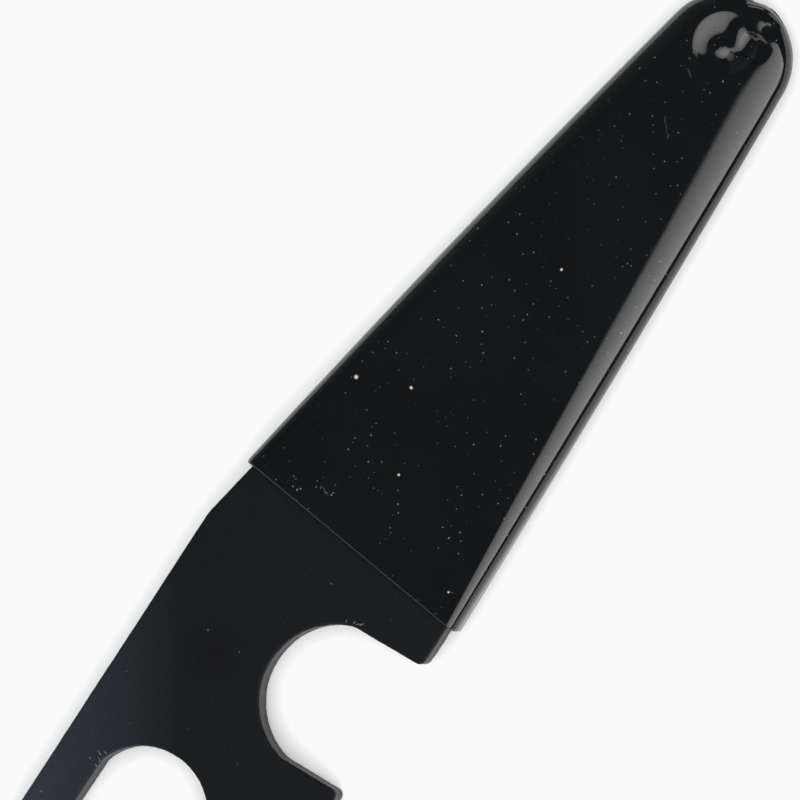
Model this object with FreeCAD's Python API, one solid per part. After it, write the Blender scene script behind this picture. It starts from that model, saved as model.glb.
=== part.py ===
"""A flat steel wrench with two open jaws and a dipped vinyl grip.

The wrench is one blanked steel plate. Its bar carries a large jaw on the front edge and a smaller jaw at the far end,
and its other end is a tapered tang with a hang hole. The grip is one soft skin that wraps the tang, closes round its
rounded tip and sinks into the hang hole, which locks it on.

The plan is drawn with x = 0 at the middle of the grip's mouth and y = 0 along the bar's straight back edge. The
finished pieces are moved so that the origin is the middle of the footprint, at the height that the grip rests on.
"""

import FreeCAD, Part
import math
import os

Vector = FreeCAD.Vector
UP = Vector(0, 0, 1)

# Steel plate, in millimetres and degrees
PLATE_THICKNESS = 4.8
PLATE_EDGE_BREAK = 0.3
BAR_WIDTH = 39.5
BAR_LENGTH = 65.0  # from the middle of the grip's mouth to the ends of the prongs
BACK_BEND_X = 8.0  # where the back edge turns in towards the tang
PRONG_CORNER_RADIUS = 2.0
JAW_RELIEF_BLEND = 0.5  # softens the slight corner where a jaw's round bottom meets its flats

# Large jaw, open on the front edge
SIDE_JAW_GAP = 22.2
SIDE_JAW_RELIEF_RADIUS = 11.5
SIDE_JAW_DEPTH = 19.3
SIDE_JAW_BOTTOM_X = 21.5
SIDE_JAW_LEAN = 3.7  # its mouth leans this far towards the grip
SIDE_JAW_CORNER_RADIUS = 1.0

# Small jaw, open at the end of the bar
END_JAW_GAP = 19.05
END_JAW_RELIEF_RADIUS = 10.1
END_JAW_DEPTH = 24.2
BACK_PRONG_WIDTH = 6.9

# Tang, inside the grip
TANG_LENGTH = 98.3
TANG_TIP_RADIUS = 8.75
TANG_TIP_SET_IN = 12.15  # from the bar's front edge line to the middle of the rounded tip
HANG_HOLE_DIAMETER = 6.5
HANG_HOLE_END_WALL = 2.2
HANG_HOLE_OFFSET = 0.8  # towards the front edge from the tip's middle

# Vinyl grip
GRIP_FACE_WALL = 1.0
GRIP_EDGE_WALL = 1.25
GRIP_EDGE_ROUND = 2.6
GRIP_SIDE_SWELL = 1.4  # how much further than the tang the long sides turn in at the tip
GRIP_MOUTH_LEAN = 5.4
DISH_MARGIN = 0.25  # how far the dish over the hang hole reaches past the hole's edge
DISH_DEPTH = 1.6
DRIP_RADIUS = 1.5
DRIP_PROUD = 0.5
DRIP_TURN = 10.5  # how far round the tip the drip sits, towards the front edge

GRIP_THICKNESS = PLATE_THICKNESS + 2 * GRIP_FACE_WALL


def unit(degrees):
    """A flat direction at an angle from +X."""
    angle = math.radians(degrees)
    return Vector(math.cos(angle), math.sin(angle), 0)


def crossing(point_a, direction_a, point_b, direction_b):
    """Where two flat lines cross."""
    gap = point_b - point_a
    across = direction_a.x * direction_b.y - direction_a.y * direction_b.x
    along = (gap.x * direction_b.y - gap.y * direction_b.x) / across
    return point_a + direction_a * along


def tangent_point(start, centre, radius, side):
    """Where a line from start touches a circle, on its right (side -1) or its left (side 1)."""
    to_centre = centre - start
    distance = to_centre.Length
    heading = math.degrees(math.atan2(to_centre.y, to_centre.x))
    heading += side * math.degrees(math.asin(radius / distance))
    return start + unit(heading) * math.sqrt(distance**2 - radius**2)


def outline_prism(edges, height, base):
    """The closed outline of the given edges, raised to a flat solid."""
    face = Part.Face(Part.Wire(Part.__sortEdges__(edges)))
    prism = face.extrude(UP * height)
    prism.translate(UP * base)
    return prism


def rim_edges(solid, heights):
    """The edges of a flat solid that lie wholly at one of the given heights."""
    found = []
    for edge in solid.Edges:
        box = edge.BoundBox
        flat = box.ZLength < 1e-6
        if flat and any(abs(box.ZMin - height) < 1e-6 for height in heights):
            found.append(edge)
    return found


def upright_edges(solid, points):
    """The upright edges of a flat solid that stand at the given plan points."""
    found = []
    for edge in solid.Edges:
        box = edge.BoundBox
        if box.XLength > 1e-6 or box.YLength > 1e-6:
            continue
        if any(math.hypot(box.XMin - point.x, box.YMin - point.y) < 1e-4 for point in points):
            found.append(edge)
    return found


def tip_centre():
    """The middle of the tang's rounded tip, which the grip's tip shares."""
    return Vector(TANG_TIP_RADIUS - TANG_LENGTH, BAR_WIDTH - TANG_TIP_SET_IN, 0)


def hang_hole_centre():
    centre = tip_centre()
    hole_x = HANG_HOLE_END_WALL + HANG_HOLE_DIAMETER / 2 - TANG_LENGTH
    return Vector(hole_x, centre.y + HANG_HOLE_OFFSET, 0)


def mouth_middle():
    return Vector(0, BAR_WIDTH / 2, 0)


def mouth_direction():
    return unit(90 - GRIP_MOUTH_LEAN)


def tang_shoulders():
    """The points where the back and front edges turn in to the tang. The front one is at the grip's mouth."""
    back = Vector(BACK_BEND_X, 0, 0)
    front = crossing(mouth_middle(), mouth_direction(), Vector(0, BAR_WIDTH, 0), Vector(1, 0, 0))
    return back, front


def tang_touch_points():
    """Where the tang's straight edges run into its rounded tip."""
    back, front = tang_shoulders()
    centre = tip_centre()
    back_touch = tangent_point(back, centre, TANG_TIP_RADIUS, 1)
    front_touch = tangent_point(front, centre, TANG_TIP_RADIUS, -1)
    return back_touch, front_touch


def side_jaw_place():
    """The large jaw's frame: its origin is the lowest point of the jaw's bottom, and its +Y points out of the jaw."""
    bottom = Vector(SIDE_JAW_BOTTOM_X, BAR_WIDTH - SIDE_JAW_DEPTH, 0)
    return FreeCAD.Placement(bottom, FreeCAD.Rotation(UP, SIDE_JAW_LEAN))


def end_jaw_place():
    """The small jaw's frame, set out like the large jaw's and turned to open at the end of the bar."""
    bottom = Vector(BAR_LENGTH - END_JAW_DEPTH, BACK_PRONG_WIDTH + END_JAW_GAP / 2, 0)
    return FreeCAD.Placement(bottom, FreeCAD.Rotation(UP, -90))


def jaw_flat_starts(gap, relief_radius):
    """The two points, in a jaw's own frame, where its round bottom meets its flats.

    The bottom's radius is a little larger than half the gap, so it meets each flat at a slight corner.
    """
    half = gap / 2
    height = relief_radius - math.sqrt(relief_radius**2 - half**2)
    return Vector(-half, height, 0), Vector(half, height, 0)


def jaw_cutter(gap, relief_radius, place):
    """A jaw's slot: two flats closed by a round bottom, run out well past the edge that it opens on."""
    low_left, low_right = jaw_flat_starts(gap, relief_radius)
    out_of_jaw = Vector(0, BAR_WIDTH, 0)
    edges = [
        Part.Arc(low_left, Vector(0, 0, 0), low_right).toShape(),
        Part.makeLine(low_right, low_right + out_of_jaw),
        Part.makeLine(low_right + out_of_jaw, low_left + out_of_jaw),
        Part.makeLine(low_left + out_of_jaw, low_left),
    ]
    cutter = outline_prism(edges, PLATE_THICKNESS, 0)
    cutter.Placement = place
    return cutter


def jaw_relief_corners():
    """The four plan points where the jaws' round bottoms meet their flats."""
    side_points = jaw_flat_starts(SIDE_JAW_GAP, SIDE_JAW_RELIEF_RADIUS)
    end_points = jaw_flat_starts(END_JAW_GAP, END_JAW_RELIEF_RADIUS)
    corners = [side_jaw_place().multVec(point) for point in side_points]
    corners += [end_jaw_place().multVec(point) for point in end_points]
    return corners


def side_jaw_corners():
    """The two points where the large jaw's flats reach the front edge."""
    place = side_jaw_place()
    out_of_jaw = unit(90 + SIDE_JAW_LEAN)
    corners = []
    for point in jaw_flat_starts(SIDE_JAW_GAP, SIDE_JAW_RELIEF_RADIUS):
        on_flat = place.multVec(point)
        corners.append(crossing(on_flat, out_of_jaw, Vector(0, BAR_WIDTH, 0), Vector(1, 0, 0)))
    return corners


def prong_corners():
    """The four plan corners at the ends of the two prongs."""
    lower_flat = BACK_PRONG_WIDTH
    upper_flat = BACK_PRONG_WIDTH + END_JAW_GAP
    return [Vector(BAR_LENGTH, y, 0) for y in (0, lower_flat, upper_flat, BAR_WIDTH)]


def wrench_plate():
    """The blanked steel plate: bar, two jaws, tang and hang hole, with its sharp edges broken."""
    back, front = tang_shoulders()
    back_touch, front_touch = tang_touch_points()
    tip_end = tip_centre() - Vector(TANG_TIP_RADIUS, 0, 0)
    back_end = Vector(BAR_LENGTH, 0, 0)
    front_end = Vector(BAR_LENGTH, BAR_WIDTH, 0)
    edges = [
        Part.makeLine(back, back_touch),
        Part.Arc(back_touch, tip_end, front_touch).toShape(),
        Part.makeLine(front_touch, front),
        Part.makeLine(front, front_end),
        Part.makeLine(front_end, back_end),
        Part.makeLine(back_end, back),
    ]
    blank = outline_prism(edges, PLATE_THICKNESS, 0)
    hole = Part.makeCylinder(HANG_HOLE_DIAMETER / 2, PLATE_THICKNESS, hang_hole_centre(), UP)
    side_jaw = jaw_cutter(SIDE_JAW_GAP, SIDE_JAW_RELIEF_RADIUS, side_jaw_place())
    end_jaw = jaw_cutter(END_JAW_GAP, END_JAW_RELIEF_RADIUS, end_jaw_place())
    plate = blank.cut(side_jaw).cut(end_jaw).cut(hole)
    roundings = (
        (PRONG_CORNER_RADIUS, prong_corners()),
        (SIDE_JAW_CORNER_RADIUS, side_jaw_corners()),
        (JAW_RELIEF_BLEND, jaw_relief_corners()),
    )
    for radius, corners in roundings:
        plate = plate.makeFillet(radius, upright_edges(plate, corners))
    plate = plate.makeChamfer(PLATE_EDGE_BREAK, rim_edges(plate, (0, PLATE_THICKNESS)))
    plate.translate(UP * GRIP_FACE_WALL)
    return plate


def grip_side(mouth_corner, edge_heading, side):
    """One long side of the grip, swelling gently from a mouth corner to its tip circle.

    edge_heading is the tang's edge direction towards the tip, and side is -1 for the back and 1 for the front. The
    side is one arc that touches the tip circle where it has turned in by the swell.
    """
    radius = TANG_TIP_RADIUS + GRIP_EDGE_WALL
    outward = unit(edge_heading + side * (GRIP_SIDE_SWELL - 90))
    touch = tip_centre() + outward * radius
    chord = touch - mouth_corner
    side_radius = chord.dot(chord) / (2 * outward.dot(chord))
    side_centre = touch - outward * side_radius
    middle = (touch + mouth_corner) * 0.5 - side_centre
    middle.normalize()
    on_side = side_centre + middle * side_radius
    return Part.Arc(mouth_corner, on_side, touch).toShape(), touch


def grip_mouth_corner(shoulder, touch, side):
    """Where one of the tang's edges, moved out by the grip's wall, crosses the mouth line."""
    along = touch - shoulder
    along.normalize()
    outward = Vector(along.y, -along.x, 0) * side
    on_line = shoulder + outward * GRIP_EDGE_WALL
    heading = math.degrees(math.atan2(along.y, along.x))
    return crossing(on_line, along, mouth_middle(), mouth_direction()), heading


def grip_body():
    """The grip's outer form, before the tang's place is cut out of it."""
    back, front = tang_shoulders()
    back_touch, front_touch = tang_touch_points()
    back_corner, back_heading = grip_mouth_corner(back, back_touch, -1)
    front_corner, front_heading = grip_mouth_corner(front, front_touch, 1)
    back_side, back_join = grip_side(back_corner, back_heading, -1)
    front_side, front_join = grip_side(front_corner, front_heading, 1)
    tip_end = tip_centre() - Vector(TANG_TIP_RADIUS + GRIP_EDGE_WALL, 0, 0)
    edges = [
        back_side,
        Part.Arc(back_join, tip_end, front_join).toShape(),
        front_side,
        Part.makeLine(front_corner, back_corner),
    ]
    body = outline_prism(edges, GRIP_THICKNESS, 0)
    rims = rim_edges(body, (0, GRIP_THICKNESS))
    round_rims = [edge for edge in rims if edge.Curve.TypeId == "Part::GeomCircle"]
    return body.makeFillet(GRIP_EDGE_ROUND, round_rims)


def vinyl_grip(plate):
    """The dipped skin, with the tang's place cut out, a dish over the hang hole on each face and a drip at the tip."""
    drip_reach = TANG_TIP_RADIUS + GRIP_EDGE_WALL + DRIP_PROUD - DRIP_RADIUS
    drip_middle = tip_centre() + unit(180 - DRIP_TURN) * drip_reach + UP * (GRIP_THICKNESS / 2)
    body = grip_body().fuse(Part.makeSphere(DRIP_RADIUS, drip_middle))
    dish_radius = HANG_HOLE_DIAMETER / 2 + DISH_MARGIN
    sphere_radius = (dish_radius**2 + DISH_DEPTH**2) / (2 * DISH_DEPTH)
    for height in (DISH_DEPTH - sphere_radius, GRIP_THICKNESS - DISH_DEPTH + sphere_radius):
        body = body.cut(Part.makeSphere(sphere_radius, hang_hole_centre() + UP * height))
    return body.cut(plate)


def main():
    plate = wrench_plate()
    pieces = {"wrench_plate": plate, "vinyl_grip": vinyl_grip(plate)}
    footprint = FreeCAD.BoundBox()
    for shape in pieces.values():
        footprint.add(shape.optimalBoundingBox(False, False))
    to_origin = Vector(-footprint.Center.x, -footprint.Center.y, -footprint.ZMin)
    os.makedirs("parts", exist_ok=True)
    for name, shape in pieces.items():
        shape.translate(to_origin)
        solid = shape.Solids[0]
        solid.exportStep(f"parts/{name}.step")
        print(name, "volume", round(solid.Volume), "mm3, solids", len(shape.Solids), "valid", solid.isValid())
    print("overall", round(footprint.XLength, 2), round(footprint.YLength, 2), round(footprint.ZLength, 2))
    print("plan origin is at", round(to_origin.x, 4), round(to_origin.y, 4), round(to_origin.z, 4))


main()
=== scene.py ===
"""Looks of a flat open-jaw wrench with a dipped vinyl grip.

Plan coordinates are in millimetres, with x = 0 at the middle of the grip's mouth, y = 0 along the bar's straight back
edge and z = 0 under the grip, and every piece is moved from there into the frame's own place when it is finished.
"""

import math

import bmesh
import bpy
from mathutils import Matrix, Vector, noise


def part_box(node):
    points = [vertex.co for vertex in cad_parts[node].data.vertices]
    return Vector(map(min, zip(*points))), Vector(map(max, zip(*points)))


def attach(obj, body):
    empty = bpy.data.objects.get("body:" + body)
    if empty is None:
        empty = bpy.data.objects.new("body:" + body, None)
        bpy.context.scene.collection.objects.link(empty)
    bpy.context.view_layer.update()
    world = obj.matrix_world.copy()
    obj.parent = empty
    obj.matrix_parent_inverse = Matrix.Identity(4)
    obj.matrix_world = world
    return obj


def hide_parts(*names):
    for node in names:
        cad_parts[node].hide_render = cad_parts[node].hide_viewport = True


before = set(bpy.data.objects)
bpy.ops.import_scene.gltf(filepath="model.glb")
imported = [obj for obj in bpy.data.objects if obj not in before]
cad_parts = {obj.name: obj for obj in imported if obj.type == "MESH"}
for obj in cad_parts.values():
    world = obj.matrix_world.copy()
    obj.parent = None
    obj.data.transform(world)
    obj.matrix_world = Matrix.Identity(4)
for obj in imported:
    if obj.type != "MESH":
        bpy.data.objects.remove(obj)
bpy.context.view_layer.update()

bl_info = {
    "name": "Flat open-jaw wrench",
    "version": (1, 0, 0),
    "blender": (4, 5, 0),
    "location": "3D View > Sidebar > Wrench",
    "description": "Builds the coated plate, the dipped grip and the studio of a flat open-jaw wrench",
    "category": "Add Mesh",
}

MM = 0.001
PLATE_LOW, PLATE_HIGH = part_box("wrench_plate")
GRIP_LOW, GRIP_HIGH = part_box("vinyl_grip")
PLATE_BASE = PLATE_LOW.z / MM
PLATE_TOP = PLATE_HIGH.z / MM
GRIP_MID_HEIGHT = (GRIP_LOW.z + GRIP_HIGH.z) / 2 / MM
BAR_LENGTH = 65.0  # from the middle of the grip's mouth to the ends of the prongs
BAR_WIDTH = (PLATE_HIGH.y - PLATE_LOW.y) / MM
PLAN_ORIGIN = Vector((PLATE_HIGH.x / MM - BAR_LENGTH, PLATE_LOW.y / MM, 0))

# Plan of the bar, its jaws and the tang
PRONG_CORNER_RADIUS = 2.0
BACK_PRONG_WIDTH = 6.9
END_JAW_DEPTH = 24.2
END_JAW_RELIEF_RADIUS = 10.1
SIDE_JAW_BOTTOM_X = 21.5
SIDE_JAW_DEPTH = 19.3
SIDE_JAW_HEADING = 93.7
SIDE_JAW_RELIEF_RADIUS = 11.5
SIDE_JAW_CORNER_RADIUS = 1.0
BACK_SHOULDER = Vector((8.0, 0.0))
BACK_SHOULDER_RADIUS = 9.0
FRONT_SHOULDER = Vector((1.87, BAR_WIDTH))
FRONT_SHOULDER_RADIUS = 0.6
TIP_MIDDLE = Vector((-89.55, 27.35))
TANG_TIP_RADIUS = 8.75
TANG_TIP_ANGLES = (92.1, 259.3)
HOLE_MIDDLE = Vector((-92.85, 28.15))
# (radius, height above the plate's underside) up the hole: its countersinks leave room for the sunken vinyl
HOLE_RINGS = ((4.7, 0.0), (3.25, 1.2), (3.25, 3.6), (4.7, 4.8))

# Plan of the grip: the corners of its mouth, where its sides touch the round tip, and how far the sides swell
BACK_CORNER = Vector((-1.812, 0.583))
FRONT_CORNER = Vector((1.986, 40.755))
BACK_TOUCH_ANGLE = 257.9
FRONT_TOUCH_ANGLE = 93.5
BACK_SWELL = 0.56
FRONT_SWELL = 0.34
LIP_BACK_END = Vector((-1.6, 0.98))
# (share of the way in to the plate, distance out of the mouth) of each ring of the lip
LIP_RINGS = ((0.05, 0.12), (0.2, 0.26), (0.5, 0.32), (1.0, 0.26), (1.04, -0.8))
LIP_CLEARANCE = 0.05  # how far inside the plate's faces and edges the lip is closed

# (x, size) stops along the grip: how far in from the silhouette its rounded edge reaches, and how far down
EDGE_WIDTHS = (
    (-97, 4.3), (-93, 4.9), (-90, 5.7), (-86, 6.1), (-76, 5.5),
    (-56, 4.6), (-38, 3.8), (-18, 2.8), (-4, 1.85), (2, 1.45),
)
EDGE_HEIGHTS = ((-90, 3.3), (-56, 3.2), (-38, 3.0), (-18, 2.6), (-4, 2.1), (2, 1.9))

# What the setting vinyl left at the tip: where the silhouette swells, folds in and thins, and the marks inside it
TIP_RELIEF_END_X = -80
DRIP_ANGLE, DRIP_SPREAD = 165, 8
FOLD_ANGLE, FOLD_SPREAD = 185, 9
THIN_ANGLE, THIN_SPREAD, THIN_DEPTH = 215, 20, 0.25
DISH_MIDDLE = Vector((-91.6, 26.7))
PIT_X, PIT_Y, PIT_DEPTH = -93.9, 30.6, 0.75
PIT_STEEP_REACH, PIT_GENTLE_REACH, PIT_HALF_LENGTH = 1.35, 2.6, 2.5
RIDGE_PATH = (Vector((-94.2, 27.1)), Vector((-93.2, 27.3)), Vector((-91.8, 27.7)))
NUB_MIDDLE = Vector((-90.8, 26.1))
NUB_HOLLOW = Vector((-90.2, 28.0))
RIM_HOLLOW = Vector((-97.0, 31.0))
FOLD_PATH = (Vector((-98.2, 26.3)), Vector((-98.75, 27.6)), Vector((-99.2, 29.2)), Vector((-99.1, 30.6)))

# (plan point, heading, length) of each sliver of coating along the jaws' rims
BURRS = (
    ((9.1, 28.5), 148, 0.75),
    ((9.45, 27.5), 170, 0.55),
    ((9.3, 28.0), 128, 0.9),
    ((9.9, 26.4), 196, 0.5),
    ((47.0, 6.3), 250, 0.9),
    ((47.9, 6.75), 228, 0.8),
    ((46.4, 7.0), 262, 0.6),
    ((48.8, 6.8), 240, 0.6),
)
BURR_ROOT_RADIUS, BURR_POINT_RADIUS, BURR_TILT = 0.1, 0.02, 84
FLAT_FACE = 0.9999  # a face of the plate whose normal stands this upright is shaded flat

# What lies on the grip: (plan point, radius) of each crumb, and (start, end, width) of each hair of lint
CRUMBS = (
    ((-20.94, 7.79), 0.26),
    ((-24.18, 15.59), 0.2),
    ((-50.92, 24.76), 0.17),
    ((-12.52, 21.16), 0.16),
    ((-2.35, 36.95), 0.13),
)
LINT = (
    ((-77.96, 25.06), (-75.39, 27.31), 0.06),
    ((-85.63, 24.12), (-84.9, 25.3), 0.09),
    ((-4.9, 12.3), (-4.0, 14.0), 0.07),
    ((-2.45, 37.1), (-2.75, 37.6), 0.07),
)
# A matt fleck beside the nub, and a dark smudge on the bar
FLECK_MIDDLE, FLECK_RADIUS = (-90.35, 28.2), 0.58
SMUDGE_MIDDLE, SMUDGE_RADIUS = (24.8, 12.4), 2.9

# Fixed colours of the materials
VINYL_DEEP = (0.0045, 0.0056, 0.0064, 1)
VINYL_DUST = (0.42, 0.44, 0.44, 1)
CRUMB_COLOUR = (0.55, 0.5, 0.38, 1)
LINT_COLOUR = (0.4, 0.42, 0.42, 1)
FLECK_COLOUR = (0.02, 0.017, 0.016, 1)
MOTTLE_COLOUR = (0.004, 0.0045, 0.0055, 1)
SMUDGE_COLOUR = (0.0035, 0.0034, 0.0038, 1)
STEEL_DUST = (0.4, 0.43, 0.44, 1)
DRAG_COLOUR = (0.024, 0.021, 0.022, 1)
LOW_CUT_COLOUR = (0.03, 0.016, 0.014, 1)
BURR_COLOUR = (0.11, 0.12, 0.125, 1)
ROOM_COLOUR = (0.95, 0.98, 1.0, 1)

# The stage
FLOOR_REACH = 12.0
BACKDROP_STRENGTH = 0.95  # what the camera sees past the floor
BRIGHTEST = 0.955  # a pure white's level in the finished view
LENS, SENSOR = 300.0, 36.0
AIM = Vector((-21.67, 15.0, PLATE_TOP))


def polar(angle, radius=1.0):
    """A plan vector from an angle in degrees."""
    turn = math.radians(angle)
    return Vector((math.cos(turn), math.sin(turn))) * radius


def mix(a, b, share):
    """The value at a share of the way from a to b."""
    return a + (b - a) * share


def clamp(value, low=0.0, high=1.0):
    return max(low, min(high, value))


def smooth(value, low, high):
    """0 below low, 1 above high, and an even curve in between."""
    share = clamp((value - low) / (high - low))
    return share * share * (3 - 2 * share)


def along(stops, place):
    """The value at a place between stops, each a (place, value) pair, in rising order."""
    for (start, low), (end, high) in zip(stops, stops[1:]):
        if place <= end:
            return mix(low, high, clamp((place - start) / (end - start)))
    return stops[-1][1]


def hump(distance, width):
    """A smooth bump of height 1 that has all but gone at two widths."""
    return math.exp(-((distance / width) ** 2))


def off_segment(point, start, end):
    """How far a plan point is from a short straight run."""
    run = end - start
    share = clamp((point - start).dot(run) / run.length_squared)
    return (point - start - run * share).length


def off_path(point, path):
    return min(off_segment(point, start, end) for start, end in zip(path, path[1:]))


def ripple(x, y, z, size, seed):
    """Smooth unevenness from -1 to 1, about size millimetres from one swell to the next."""
    return noise.noise(Vector((x / size + seed, y / size - seed, z / size + 2 * seed)))


# ---------------------------------------------------------------- grip


class GripForm:
    """The dipped skin's outer surface, as rows from its silhouette in to the spine over the tang."""

    tip_columns = 230
    side_columns = 140
    wall_rows = 5
    round_rows = 34
    flat_rows = 41
    mouth_shares = (0.0, 0.0012, 0.003)  # the close columns that carry the edge of the mouth
    tip_crowding = 0.78
    wall_bulge = 0.06
    widest_round = 0.86  # of the way from the silhouette to the spine
    edge_fade = 0.5
    mouth_droop, mouth_droop_reach = 0.07, 0.3

    def __init__(self, settings):
        self.radius = settings.tip_radius / MM
        self.height = (GRIP_HIGH.z - GRIP_LOW.z) / MM / 2
        self.dish_radius = settings.dish_radius / MM
        self.dish_depth = settings.dish_depth / MM
        self.drip = settings.drip / MM
        self.fold = settings.fold / MM
        self.unevenness = settings.unevenness / MM
        self.columns = 2 * self.side_columns + self.tip_columns
        self.rows = self.wall_rows + self.round_rows + self.flat_rows
        self.back = (BACK_CORNER, TIP_MIDDLE + polar(BACK_TOUCH_ANGLE, self.radius), -1, BACK_SWELL)
        self.front = (FRONT_CORNER, TIP_MIDDLE + polar(FRONT_TOUCH_ANGLE, self.radius), 1, FRONT_SWELL)
        self.mouth = BACK_CORNER.lerp(FRONT_CORNER, 0.5)
        across = (FRONT_CORNER - BACK_CORNER).normalized()
        self.inward = Vector((-across.y, across.x))

    def side_point(self, side, share):
        """A point of one long side, a share of the way from the mouth to the tip."""
        corner, touch, sign, swell = side
        chord = touch - corner
        outward = Vector((-chord.y, chord.x)).normalized() * -sign
        return corner + chord * share + outward * swell * 4 * share * (1 - share)

    def side_share(self, step):
        """How far along a side a column stands, with the columns closer together towards the tip."""
        last = len(self.mouth_shares) - 1
        if step <= last:
            return self.mouth_shares[step]
        share = (step - last) / (self.side_columns - last)
        return mix(self.mouth_shares[last], 1.0, share + self.tip_crowding * share * (1 - share))

    def outline(self, column):
        """A column's silhouette point and the point of the spine that it runs to."""
        if column <= self.side_columns:
            share = self.side_share(column)
            return self.side_point(self.back, share), self.mouth.lerp(HOLE_MIDDLE, share)
        column -= self.side_columns
        if column < self.tip_columns:
            share = column / self.tip_columns
            angle = mix(BACK_TOUCH_ANGLE, FRONT_TOUCH_ANGLE, share)
            reach = self.radius + self.drip * hump(angle - DRIP_ANGLE, DRIP_SPREAD)
            reach -= self.fold * hump(angle - FOLD_ANGLE, FOLD_SPREAD)
            reach -= THIN_DEPTH * hump(angle - THIN_ANGLE, THIN_SPREAD)
            return TIP_MIDDLE + polar(angle, reach), HOLE_MIDDLE
        share = self.side_share(self.side_columns - (column - self.tip_columns))
        return self.side_point(self.front, share), self.mouth.lerp(HOLE_MIDDLE, share)

    def inset(self, point):
        """How far a plan point lies in from the silhouette."""
        found = [self.radius - (point - TIP_MIDDLE).length] if self.by_tip(point) else []
        for corner, touch, sign, swell in (self.back, self.front):
            chord = touch - corner
            share = (point - corner).dot(chord) / chord.length_squared
            if share <= 1:
                outward = Vector((-chord.y, chord.x)).normalized() * -sign
                line = corner + outward * swell * 4 * max(share, 0) * (1 - share)
                found.append((line - point).dot(outward))
        return max(min(found), 0.0)

    def by_tip(self, point):
        """Whether the nearest silhouette may be the round tip's."""
        angle = math.degrees(math.atan2(point.y - TIP_MIDDLE.y, point.x - TIP_MIDDLE.x)) % 360
        return FRONT_TOUCH_ANGLE - 1 <= angle <= BACK_TOUCH_ANGLE + 1

    def rounding(self, x):
        """The width and the height of the rounded edge, which grow towards the tip where the skin is thickest."""
        return along(EDGE_WIDTHS, x), along(EDGE_HEIGHTS, x)

    def crown(self, point, inset):
        """The height of the plain rounded surface above the middle."""
        width, height = self.rounding(point.x)
        if inset >= width:
            return self.height
        return self.height - height + height * math.sqrt(max(0.0, 1 - ((width - inset) / width) ** 2))

    def dish(self, point):
        """The shallow bowl that the skin sank into over the hang hole."""
        level = 1 - ((point - DISH_MIDDLE).length / self.dish_radius) ** 2
        return self.dish_depth * (level + math.sqrt(level * level + 0.004)) / 2

    def tip_relief(self, point):
        """What the setting vinyl left at the upper side of the tip: dish, pit, ridge, curled nub and drip fold."""
        if point.x > TIP_RELIEF_END_X:
            return 0.0
        relief = -self.dish(point)
        across = (point.x - PIT_X) / (PIT_STEEP_REACH if point.x < PIT_X else PIT_GENTLE_REACH)
        pit = 1 - abs(across) ** 3 - ((point.y - PIT_Y) / PIT_HALF_LENGTH) ** 2
        relief -= PIT_DEPTH * (pit + math.sqrt(pit * pit + 0.02)) / 2
        relief += 0.5 * hump(off_path(point, RIDGE_PATH), 1.1)
        nub = (point - NUB_MIDDLE).length
        relief += 0.6 * hump(nub, 1.25) + 0.03 * hump(nub - 0.7, 0.14)
        relief -= 0.38 * hump((point - NUB_HOLLOW).length, 0.85)
        relief -= 0.5 * hump((point - RIM_HOLLOW).length, 1.3)
        relief += 0.3 * hump(off_path(point, FOLD_PATH), 0.26)
        return relief

    def under_relief(self, point):
        """The under side of the tip, which has the dish alone."""
        return -self.dish(point) if point.x < TIP_RELIEF_END_X else 0.0

    def point(self, column, row, upper):
        """The surface point of a grid corner, upper or under side."""
        rim, spine = self.outline(column)
        span = (spine - rim).length
        width, height = self.rounding(rim.x)
        side = 1 if upper else -1
        middle = Vector((rim.x, rim.y, GRIP_MID_HEIGHT))
        if row <= self.wall_rows:
            rise = (self.height - height) * row / self.wall_rows
            bulge = self.wall_bulge * math.cos(math.pi / 2 * clamp(rise / self.height))
            outward = (rim - spine).normalized() * bulge if column % self.columns else Vector((0, 0))
            return middle + Vector((outward.x, outward.y, side * rise))
        width = min(width, span * self.widest_round)
        if row <= self.wall_rows + self.round_rows:
            turn = (row - self.wall_rows) / self.round_rows * math.pi / 2
            reach = width * (1 - math.cos(turn))
        else:
            share = (row - self.wall_rows - self.round_rows) / self.flat_rows
            reach = mix(width, span, share)
        flat = rim.lerp(spine, reach / span)
        inset = self.inset(flat)
        rise = self.crown(flat, inset)
        relief = self.tip_relief(flat) if upper else self.under_relief(flat)
        fade = smooth(inset, 0.0, self.edge_fade)
        wave = ripple(flat.x, flat.y, side, 13.0, 3.1) + 0.5 * ripple(flat.x, flat.y, side, 5.0, 7.7)
        depth = (flat - self.mouth).dot(self.inward)
        rise -= self.mouth_droop * max(0.0, 1 - depth / self.mouth_droop_reach) ** 2
        rise += relief * fade + (self.unevenness * (wave - 1) * fade if upper else 0.0)
        return Vector((flat.x, flat.y, GRIP_MID_HEIGHT + side * rise))


def lay_grip_face(bm, form, upper):
    """One face of the skin: a grid whose corners are drawn out over the form."""
    made = bmesh.ops.create_grid(bm, x_segments=form.columns, y_segments=form.rows, size=0.5)
    for vert in made["verts"]:
        column = round((vert.co.x + 0.5) * form.columns)
        row = round((vert.co.y + 0.5) * form.rows)
        vert.co = form.point(column, row, upper)


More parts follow.
